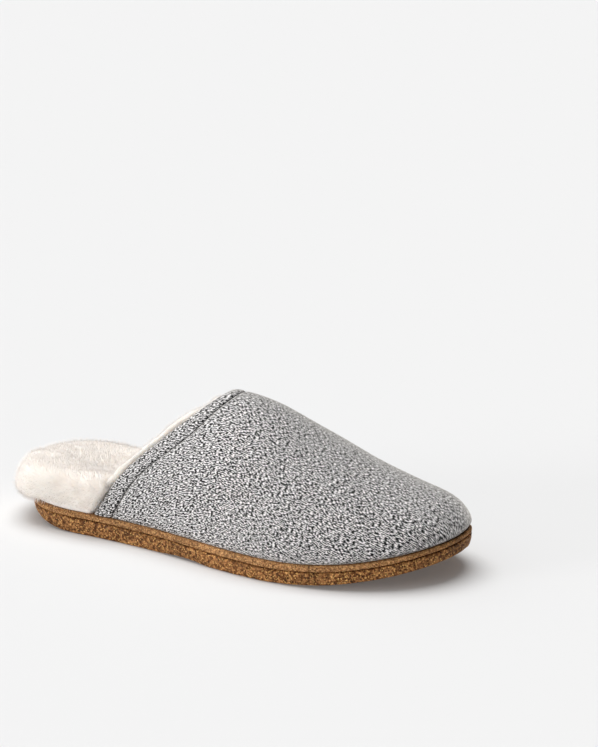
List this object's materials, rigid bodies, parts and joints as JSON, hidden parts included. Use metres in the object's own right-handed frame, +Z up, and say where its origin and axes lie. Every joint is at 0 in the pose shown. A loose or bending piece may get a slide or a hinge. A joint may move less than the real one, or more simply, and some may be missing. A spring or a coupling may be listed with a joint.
{
  "type": "mule slipper",
  "caption": "Backless mule slipper with a marled knit upper, a sewn collar band, a deep cream fleece footbed swelling out behind the heel and a layered cork rubber sole.",
  "frame": {"origin": "middle of the slipper's box, on the floor", "axes": "+X from heel to toe, +Y towards the inner side of the right foot, +Z up"},
  "size_m": [0.288, 0.1065, 0.0927],
  "materials": {
    "outsole_cork": "moulded cork and rubber granules, matt with a slight sheen",
    "strip_cork": "smoother cork and rubber, a little lighter",
    "knit": "marled grey knit, salt and pepper",
    "band_knit": "the same knit, folded and sewn",
    "roll_fleece": "cream fleece",
    "footbed_fleece": "deep cream fleece"
  },
  "bodies": {
    "root": {"outsole": "outsole_cork", "sole_strip": "strip_cork", "upper": "knit", "collar_band": "band_knit", "collar_fleece": "roll_fleece", "fleece_footbed": "footbed_fleece"}
  },
  "joints": []
}
